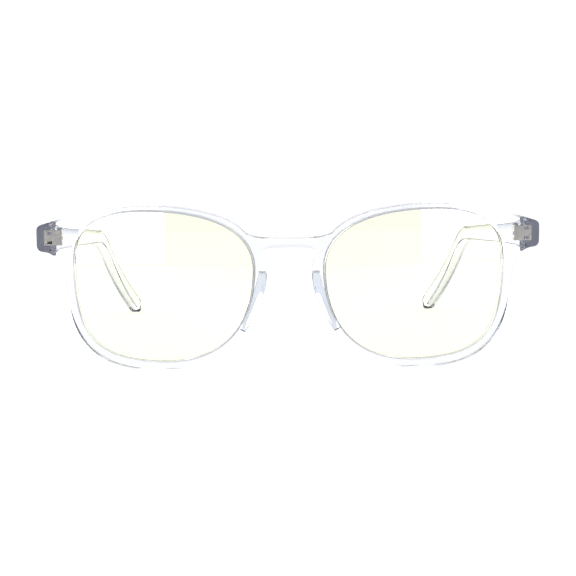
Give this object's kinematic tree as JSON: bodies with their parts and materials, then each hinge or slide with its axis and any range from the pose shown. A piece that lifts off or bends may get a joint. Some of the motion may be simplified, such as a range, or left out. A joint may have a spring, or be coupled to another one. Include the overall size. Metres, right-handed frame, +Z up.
{
  "type": "blue light glasses",
  "caption": "Clear plastic full-rim spectacles with plano blue-filter lenses, keyhole bridge, glued nose pads and temples folding on three-barrel hinges.",
  "frame": {"origin": "middle of the overall box, on the surface the glasses stand on", "axes": "+X towards the wearer's left temple, +Y from the front back along the temples, +Z up; the glasses stand open on the lower rims and the temple tips"},
  "size_m": [0.1412, 0.148, 0.0466],
  "materials": {
    "clear_frame_plastic": "polished, crystal clear",
    "clear_pad_plastic": "polished, crystal clear",
    "filter_lens": "coated, faint yellow through it and blue-violet in reflections",
    "nickel_silver": "satin nickel silver",
    "screw_steel": "bright steel"
  },
  "bodies": {
    "front": {"front_frame": "clear_frame_plastic", "lens_left": "filter_lens", "lens_right": "filter_lens", "nose_pad_left": "clear_pad_plastic", "nose_pad_right": "clear_pad_plastic", "front_hinge_leaf_left": "nickel_silver", "front_hinge_leaf_right": "nickel_silver", "hinge_screw_left": "screw_steel", "hinge_screw_right": "screw_steel"},
    "left_temple": {"temple_left": "clear_frame_plastic", "temple_hinge_leaf_left": "nickel_silver"},
    "right_temple": {"temple_right": "clear_frame_plastic", "temple_hinge_leaf_right": "nickel_silver"}
  },
  "joints": [
    {"name": "left_temple_fold", "type": "hinge", "parent": "front", "child": "left_temple", "pos_m": [0.0647, -0.06005, 0.03713], "axis": [0, 0.0698, 0.9976], "range_deg": [0, 86]},
    {"name": "right_temple_fold", "type": "hinge", "parent": "front", "child": "right_temple", "pos_m": [-0.0647, -0.06005, 0.03713], "axis": [0, -0.0698, -0.9976], "range_deg": [0, 71]}
  ]
}
